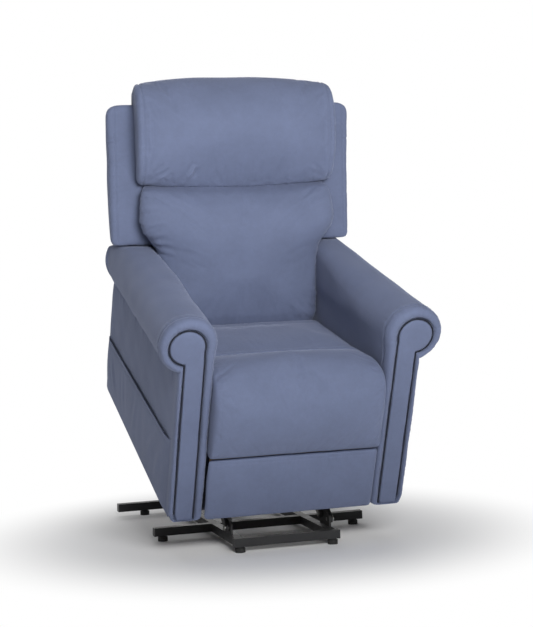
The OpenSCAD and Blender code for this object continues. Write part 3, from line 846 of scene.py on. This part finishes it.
def build_pocket(side, sign, seed):
    """The open pocket over the lower outside of the arm, with a stitched hem and slack folds below it."""
    rows, columns = 44, 150
    y = np.linspace(0.026, ARM_DEPTH, columns)[:, None] * np.ones((1, rows))
    v = np.linspace(0, 1, rows)[None] * np.ones((columns, 1))
    z = 0.004 + v * (pocket_top(y) - 0.004)
    mouth = ramp(y, 0.05, 0.05) * ramp(y, ARM_DEPTH, -0.03)
    middle = np.maximum(np.sin(np.pi * v), 0) ** 0.8
    flat = np.column_stack((np.zeros(y.size), y.ravel(), z.ravel()))
    slack = blotches(flat * np.array((1, 1, 0.35)), 0.10, seed).reshape(y.shape)
    outer = 0.3555 + mouth * (0.0030 + 0.0035 * v) + 0.0035 * middle * mouth + 0.0016 * slack * middle
    hem = np.exp(-((v * (pocket_top(y) - 0.004) - (pocket_top(y) - 0.018)) / 0.0035) ** 2)
    outer = outer - 0.0009 * hem
    inner = outer - 0.0026
    front = np.stack((sign * outer, y, z), axis=2)
    rear = np.stack((sign * inner, y, z), axis=2)
    obj = loft(f"side_pocket_cover_{side}", np.concatenate((front, rear[:, ::-1]), axis=1), 0)
    subdivide(obj)
    droops = (((0.10, 0.20), (0.20, 0.03)), ((0.16, 0.21), (0.30, 0.06)), ((0.42, 0.19), (0.47, 0.05)),
        ((0.62, 0.18), (0.60, 0.04)), ((0.78, 0.16), (0.72, 0.05)))
    for start, end in droops:
        fold(obj, (sign * 0.362, *start), (sign * 0.362, *end), 0.0022, 0.014)
    hem_y = np.linspace(0.08, ARM_DEPTH - 0.01, 80)
    hem_line = ring_across(sign * 0.37, np.column_stack((hem_y, pocket_top(hem_y) - 0.014)))
    sewn(obj, "chair", hem_line, f"pocket_thread_{side}")
    place(obj, "chair", f"side_pocket_{side}", fill=0.2)


# ---- Seat and footrest ----


def build_seat():
    """The seat cushion with its waterfall front, one cross seam and a boxed edge along each side."""
    profile = [(0.026, 0.207), (-0.014, 0.205), (-0.032, 0.226), (-0.039, 0.290), (-0.041, 0.350),
        (-0.038, 0.404), (-0.022, 0.440), (0.010, 0.457), (0.062, 0.462), (0.130, 0.446), (0.201, 0.421),
        (0.285, 0.407), (0.360, 0.390), (0.540, 0.351), (0.585, 0.341), (0.603, 0.330), (0.604, 0.302),
        (0.30, 0.300), (0.066, 0.300), (0.040, 0.290), (0.034, 0.240)]
    outline = resample(rounded(profile, 3), 150, closed=True)
    top = ramp(outline[:, 1], 0.33, 0.06)
    hem = ramp(outline[:, 1], 0.212, 0.09)
    rings = []
    for x in stations(SEAT_HALF, 0.024, 34):
        fall = shoulder(x, SEAT_HALF, 0.024) * hem * (0.35 + 0.65 * np.maximum(top, outline[:, 0] < 0.0))
        ring = inward(outline, fall)
        ring[:, 1] += top * 0.005 * (1 - (x / SEAT_HALF) ** 2)
        rings.append(ring_across(x, ring))
    cross = np.linspace((-0.25, SEAT_SEAM_Y, 0.424), (0.25, SEAT_SEAM_Y, 0.424), 80)
    upper = resample(rounded(profile, 3), 260, closed=True)
    upper = upper[(upper[:, 1] > 0.345) | ((upper[:, 1] > 0.215) & (upper[:, 0] < 0.0))]
    upper = upper[np.argsort(np.arctan2(upper[:, 1] - 0.30, upper[:, 0] - 0.15))]
    upper -= 0.004 * unit(upper - (0.15, 0.32))

    def held(where):
        under = ramp(where[:, 2], 0.325, -0.02) * (where[:, 1] > 0.03)
        rear = ramp(where[:, 1], 0.53, 0.03)
        foot = ramp(where[:, 2], 0.222, -0.012)
        sides = ramp(np.abs(where[:, 0]), SEAT_HALF - 0.010, 0.006)
        return np.maximum.reduce((under, rear, foot, sides, beside(where, cross)))

    obj = pad("seat_cover", rings, held, cap=0.020, pressure=3.5, slack=0.006,
        uneven=(0.0008, 0.10, 5))
    seam(obj, cross, 0.0045, 0.0036, swell=0.0018, gather=0.0008, reach=0.024, pitch=0.030, seed=11)
    for sign in (-1, 1):
        line = ring_across(sign * (SEAT_HALF - 0.020), upper)
        seam(obj, line, 0.0007, 0.0026, gather=0.0004, reach=0.020, seed=13 + sign)
    fold(obj, (-0.19, 0.19, 0.43), (-0.11, 0.14, 0.45), 0.0008, 0.009)
    fold(obj, (0.08, 0.215, 0.43), (0.16, 0.25, 0.42), 0.0008, 0.010)
    sewn(obj, "chair", cross[4:-4], "seat_thread", (0.006, -0.006))
    place(obj, "chair", "seat_cushion", fill=0.75)


def build_footrest_pad():
    """The flat padded panel under the seat front."""
    outline = rounded([(0.008, 0.006), (-0.010, 0.006), (-0.016, 0.016), (-0.0165, 0.10), (-0.016, 0.192),
        (-0.010, 0.203), (0.008, 0.203)], 2)
    outline = resample(outline, 60, closed=True)
    rings = []
    for x in stations(PANEL_HALF, 0.012, 34, 5):
        ring = inward(outline, 0.72 * shoulder(x, PANEL_HALF, 0.012))
        rings.append(ring_across(x, ring))

    def held(where):
        rear = where[:, 1] > 0.002
        edge = (np.abs(where[:, 0]) > PANEL_HALF - 0.008) | (where[:, 2] > 0.196) | (where[:, 2] < 0.012)
        return (rear | edge).astype(float)

    obj = pad("footrest_pad_cover", rings, held, cap=0.004, pressure=2.0, slack=0.004,
        uneven=(0.0007, 0.12, 21), voxel=0.005)
    frame_line = np.linspace((-0.236, -0.016, 0.19), (0.236, -0.016, 0.19), 60)
    seam(obj, frame_line, 0.0012, 0.0028, gather=0.0006, reach=0.014, pitch=0.02, seed=22)
    place(obj, "footrest_panel", "footrest_pad", fill=0.85)


def build_front_lining(side, sign):
    """A strip of dark lining stretched beside the arm, behind the seat's front and the footrest panel."""
    width, height = 0.022, 0.286
    turn = around(20)
    x = 0.0115 * boxy(np.cos(turn), 0.3)
    y = 0.0006 * np.sin(turn)
    rings = []
    for z in np.linspace(0.006, 0.006 + height, 24):
        slack = 0.0012 * math.sin(z * 40 + sign)
        rings.append(np.column_stack((sign * 0.2462 + x, 0.048 + slack + y, np.full(20, z))))
    obj = loft(f"front_lining_{side}", rings)
    place(obj, "chair", material=LINING_AND_SHADE)


# ---- Back ----


def build_lower_back():
    """The lumbar cushion, widest above the arms, with the cloth gathered at both sides."""
    heights = np.array((0.040, 0.150, 0.250, 0.285, 0.312, 0.345, 0.378, 0.430, 0.472))
    widths = np.array((0.251, 0.2545, 0.255, 0.263, 0.283, 0.306, 0.315, 0.311, 0.298))
    front_z = np.array((0.052, 0.066, 0.130, 0.220, 0.300, 0.370, 0.420, 0.462, 0.470))
    front_y = np.array((-0.146, -0.163, -0.171, -0.176, -0.184, -0.188, -0.176, -0.148, -0.115))
    rear_y = -0.073
    rows = eased((0.040, 0.473), (0.030, 0.024), (0.078, 0.442, 40), 8)

    def risen(x, z):
        """The top edge rises towards its corners."""
        return z + 0.013 * ramp(z, 0.38, 0.09) * (np.abs(x) / 0.30) ** 3

    rings = []
    angles = around(120)
    for z in rows:
        end = min((z - 0.034) / 0.034, (0.477 - z) / 0.030, 1.0)
        tuck = math.sqrt(max(0.04, 1 - (1 - max(end, 0)) ** 2))
        half = np.interp(z, heights, widths) * (0.95 + 0.05 * tuck)
        depth = rear_y - np.interp(z, front_z, front_y)
        middle, reach = rear_y - depth / 2, depth / 2 * (0.55 + 0.45 * tuck)
        x = half * boxy(np.cos(angles), 2 / 6.0)
        y = middle + (depth / 2 - reach) * 0.4 + reach * boxy(np.sin(angles), 2 / 2.6)
        rings.append(np.column_stack((x, y, risen(x, z))))

    def side_line(sign):
        z = np.linspace(0.07, 0.462, 90)
        x = np.interp(z, heights, widths) - 0.004
        y = np.interp(z, front_z, front_y) * 0.45 + rear_y * 0.55
        return np.column_stack((sign * x, y, risen(x, z)))

    sides = [side_line(-1), side_line(1)]

    def held(where):
        rear = ramp(where[:, 1], -0.090, 0.010)
        ends = ramp(where[:, 2], 0.050, -0.010) + ramp(where[:, 2], 0.470, 0.006)
        return np.maximum.reduce((rear, ends, beside(where, *sides)))

    obj = pad("lower_back_cover", rings, held, cap=0.022, pressure=3.5, slack=0.008,
        uneven=(0.0009, 0.13, 31))
    for i, line in enumerate(sides):
        seam(obj, line, 0.0030, 0.0036, gather=0.0022 - 0.0008 * i, reach=0.034, pitch=0.017, seed=33 + i)
    creases = [((-0.296, -0.13, 0.388), (-0.225, -0.18, 0.402)),
        ((-0.298, -0.13, 0.366), (-0.215, -0.18, 0.372)), ((-0.290, -0.13, 0.344), (-0.205, -0.18, 0.340)),
        ((-0.276, -0.13, 0.322), (-0.200, -0.18, 0.304)), ((-0.262, -0.13, 0.298), (-0.195, -0.17, 0.268)),
        ((0.245, -0.13, 0.090), (0.190, -0.17, 0.125)), ((0.250, -0.13, 0.120), (0.215, -0.16, 0.160))]
    for start, end in creases:
        fold(obj, start, end, 0.0022, 0.0065)
    place(obj, "back", "lower_back_cushion", fill=0.8)


def build_head_cushion():
    """The head pillow: boxed at the sides, crowned at the top, hung over the top of the back."""
    profile = [(-0.074, 0.472), (-0.108, 0.470), (-0.140, 0.490), (-0.165, 0.560), (-0.174, 0.640),
        (-0.166, 0.716), (-0.146, 0.771), (-0.112, 0.797), (-0.066, 0.804), (0.0, 0.800), (0.036, 0.790),
        (0.047, 0.776), (0.044, 0.722), (-0.020, 0.719), (-0.066, 0.717), (-0.072, 0.60)]
    outline = resample(rounded(profile, 3), 150, closed=True)
    half, radius = 0.320, 0.018
    centre = np.array((-0.09, 0.645))
    rings = []
    for x in stations(half, radius, 40):
        front = np.maximum(ramp(outline[:, 0], -0.072, -0.03), 0.25)
        ring = inward(outline, shoulder(x, half, radius) * np.maximum(front, outline[:, 1] > 0.735))
        edge = (abs(x) / half) ** 2.8
        high = ramp(ring[:, 1], centre[1], 0.15) ** 1.5
        low = ramp(ring[:, 1], centre[1], -0.16) ** 1.5
        ring[:, 1] += -0.007 * edge * high + 0.019 * edge * low
        waist = 0.004 * np.cos(np.clip((outline[:, 1] - centre[1]) / 0.17, -1, 1) * math.pi / 2)
        narrowed = 0.026 * ramp(outline[:, 0], -0.11, 0.13) + 0.003
        across = x + math.copysign(1, x) * edge * (waist - narrowed)
        rings.append(np.column_stack((across, ring)))

    def side_line(sign):
        front = [p for p in profile if p[0] < 0.04 and (p[0] < -0.075 or p[1] > 0.735)]
        line = resample(rounded(front, 3, closed=False), 140)
        drop = 0.008 * ramp(line[:, 1], centre[1], 0.15) ** 1.5
        inset = 0.021 + 0.022 * ramp(line[:, 0], -0.11, 0.13)
        return np.column_stack((sign * (half - inset), line[:, 0], line[:, 1] - drop))

    sides = [side_line(-1), side_line(1)]

    def held(where):
        rear = ramp(where[:, 1], -0.085, 0.010) * (where[:, 2] < 0.74)
        base = ramp(where[:, 2], 0.486, -0.006) * (where[:, 1] > -0.12)
        gusset = (np.abs(where[:, 0]) > half - 0.008) * 0.4
        return np.maximum.reduce((rear, base, beside(where, *sides), gusset))

    obj = pad("head_cushion_cover", rings, held, cap=0.024, pressure=3.5, slack=0.008,
        uneven=(0.0010, 0.14, 41))
    for i, line in enumerate(sides):
        seam(obj, line, 0.0026, 0.0030, swell=0.0008, gather=0.0007, pitch=0.020, seed=43 + i)
    base = np.linspace((-0.27, -0.138, 0.478), (0.27, -0.138, 0.478), 90)
    seam(obj, base, 0.0, 0.004, gather=0.0014, reach=0.026, pitch=0.040, seed=47)
    creases = [((-0.165, -0.15, 0.486), (-0.135, -0.17, 0.540), 0.0042),
        ((-0.275, -0.15, 0.505), (-0.225, -0.16, 0.545), 0.0020),
        ((-0.265, -0.15, 0.496), (-0.205, -0.16, 0.525), 0.0020),
        ((-0.245, -0.15, 0.488), (-0.195, -0.16, 0.508), 0.0020),
        ((0.275, -0.15, 0.505), (0.225, -0.16, 0.535), 0.0014)]
    for start, end, height in creases:
        fold(obj, start, end, height, 0.0065)
    for i, line in enumerate(sides):
        sewn(obj, "back", line[6:-6], f"head_thread_{i + 1}", (0.005 * (1 - 2 * i),))
    place(obj, "back", "head_cushion", fill=0.85)


def build_wing(side, sign, seed):
    """A padded wing beside the cushions, with a seam a little inside its outer edge."""
    rows = eased(WING_Z, (0.018, 0.018), (WING_Z[0] + 0.026, WING_Z[1] - 0.026, 34), 7)
    angles = around(96)
    inner = 0.231
    rings = []
    for z in rows:
        end = min((z - WING_Z[0]) / 0.018, (WING_Z[1] - z) / 0.018, 1.0)
        tuck = 0.012 * (1 - math.sqrt(max(0.0, 1 - (1 - end) ** 2)))
        outer = WING_OUTER + 0.004 * ((z - WING_Z[0]) / (WING_Z[1] - WING_Z[0])) ** 2
        outer -= 0.8 * shoulder(z, WING_Z[1], 0.038)
        half_x, half_y = (outer - inner) / 2 - tuck, 0.066 - tuck
        x = (outer + inner) / 2 + half_x * boxy(np.cos(angles), 2 / 9)
        y = -0.005 + half_y * boxy(np.sin(angles), 2 / 9)
        x -= 0.028 * ramp(y, -0.055, 0.11) * ramp(x, inner, outer - inner)
        lowered = (WING_UNDER_R - np.sqrt(WING_UNDER_R ** 2 - y ** 2)) * max(0.0, 1 - (z - WING_Z[0]) / 0.06)
        rings.append(np.column_stack((sign * x, y, z - lowered)))

    def held(where):
        out = np.abs(where[:, 0])
        inside = out < 0.262
        corner = (out > WING_OUTER - 0.026) & (out < WING_OUTER - 0.014) & (where[:, 1] < -0.05)
        ends = (where[:, 2] < WING_Z[0] + 0.010) | (where[:, 2] > WING_Z[1] - 0.006)
        return (inside | corner | ends).astype(float)

    obj = pad(f"wing_cover_{side}", rings, held, cap=0.005, pressure=2.0, slack=0.006,
        uneven=(0.0009, 0.09, seed))

    def upright(x, y):
        return np.linspace((sign * x, y, WING_Z[0] + 0.006), (sign * x, y, WING_Z[1] - 0.006), 80)

    line = upright(WING_OUTER - 0.021, -0.069)
    seam(obj, line, 0.0026, 0.0032, gather=0.0012, reach=0.018, seed=seed + 1)
    rear = upright(WING_OUTER - 0.044, 0.058)
    seam(obj, rear, 0.0024, 0.003, gather=0.0010, reach=0.018, seed=seed + 2)
    tab_z = WING_Z[1] - 0.115
    tab = ((sign * (WING_OUTER - 0.02), -0.069, tab_z), (sign * (WING_OUTER + 0.002), -0.055, tab_z))
    seam(obj, np.linspace(*tab, 12), 0.002, 0.0028, seed=seed + 3)
    sewn(obj, "back", line[2:-2], f"wing_thread_{side}", (-0.005 * sign,))
    place(obj, "back", f"wing_{side}", fill=0.7)


def build_outer_back():
    """The rear cover: one panel up the back between the wings, broader over its head, with two long seams."""
    half = [(0.246, 0.020), (0.246, 0.299), (0.2295, 0.303), (0.2295, 0.732), (0.286, 0.737), (0.286, 0.775),
        (0.274, 0.786)]
    outline = np.array(half + [(-x, z) for x, z in reversed(half)])
    dense = resample(outline, 300, closed=True)
    rings = []
    steps = ((0.016, 0.004), (0.020, 0.001), (0.030, 0.0), (0.045, 0.0), (0.054, 0.002), (0.0595, 0.006),
        (0.0615, 0.012), (0.062, 0.020))
    for y, inset in steps:
        ring = inward(dense, inset)
        rings.append(ring_at(y, ring))

    def held(where):
        edge = (np.abs(where[:, 0]) > 0.222) | (where[:, 2] < 0.03) | (where[:, 2] > 0.775)
        return ((where[:, 1] < 0.05) | edge).astype(float)

    obj = pad("outer_back_cover", rings, held, cap=0.006, pressure=2.0, slack=0.006,
        uneven=(0.0010, 0.16, 61))
    for i, x in enumerate((-0.150, 0.150)):
        line = np.linspace((x, 0.062, 0.03), (x, 0.062, 0.775), 140)
        seam(obj, line, 0.0026, 0.0034, swell=0.0008, gather=0.0010, pitch=0.03, seed=63 + i)
        sewn(obj, "back", line[3:-3], f"outer_back_thread_{i + 1}", (0.005, -0.005))
    hem = np.linspace((-0.24, 0.061, 0.045), (0.24, 0.061, 0.045), 90)
    seam(obj, hem, 0.0018, 0.003, gather=0.0010, reach=0.016, pitch=0.03, seed=67)
    place(obj, "back", "outer_back", fill=0.5)


def build_back_lining():
    """The cover drawn over the back's frame, seen between the cushions and above the arms' inner sides."""
    rows = np.concatenate(([0.086, 0.088, 0.094], np.linspace(0.104, 0.290, 16),
        [0.297, 0.3005, 0.302, 0.303], np.linspace(0.31, 0.70, 24), [0.708, 0.713, 0.714]))
    rings = []
    for z in rows:
        low = z < 0.3025
        half, rear = (0.2455, 0.0132) if low else (0.2285, -0.0630)
        end = 0.004 * max(0, 1 - (z - 0.086) / 0.010) if low else 0.002 * max(0, 1 - (0.714 - z) / 0.006)
        corner = 0.012 if low else 0.004
        corners = ((1, rear - corner, 0), (-1, rear - corner, 90), (-1, -0.0735 + corner, 180),
            (1, -0.0735 + corner, 270))
        turns = [arc((x * (half - corner), y), corner - 0.3 * end, a, a + 90, 7) for x, y, a in corners]
        ring = resample(np.vstack(turns), 96, closed=True)
        rings.append(np.column_stack((ring * (1 - end), np.full(96, z))))
    obj = loft("back_frame_cover", rings, 36)
    subdivide(obj)
    loose(obj, 0.0006, 0.10, 71)
    place(obj, "back", fill=0.3)


def build_hinge_cloth():
    """The cloth sewn from the rear of the seat to the foot of the back, slack until the back reclines."""
    width = 0.472
    seat_edge = np.array((0.588, 0.312))
    to_chair = CHAIR.inverted() @ BACK
    back_edge = np.array((to_chair @ Vector((0, -0.112, 0.070)))[1:])
    t = np.linspace(0, 1, 30)
    path = seat_edge + np.outer(t, back_edge - seat_edge)
    path[:, 1] -= 0.030 * np.sin(math.pi * t)
    step = unit(np.gradient(path, axis=0))
    across = np.column_stack((-step[:, 1], step[:, 0]))
    rings = []
    for x in np.linspace(-width / 2, width / 2, 60):
        wave = 0.0015 * math.sin(x * 70) * np.sin(math.pi * t)[:, None]
        section = np.vstack((path + across * (wave + 0.0008), (path + across * (wave - 0.0008))[::-1]))
        rings.append(ring_across(x, section))
    obj = loft("hinge_cloth", rings, 15)
    dress(obj, CHAIR, LINING_AND_SHADE)
    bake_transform(obj)


# ---- Everything ----

FABRIC = microfibre("blue_microfibre")
# Near-black cloth: real lining for the front strips and the hinge cloth, and painted shade for the cords in the
# arm insets' grooves.
LINING_AND_SHADE = microfibre("dark_lining_and_painted_shade", (0.010, 0.012, 0.020))
THREAD = thread()

add_camera((-1.5439, -5.0938, 1.0018), 17.3, 3.5, -1.8, 100.0)
add_studio()
finish_cad_nodes()
build_seat()
build_footrest_pad()
build_arm("left", -1, 101)
build_arm("right", 1, 202)
for side, sign in (("left", -1), ("right", 1)):
    build_front_lining(side, sign)
build_lower_back()
build_head_cushion()
build_wing("left", -1, 301)
build_wing("right", 1, 401)
build_outer_back()
build_back_lining()
build_hinge_cloth()
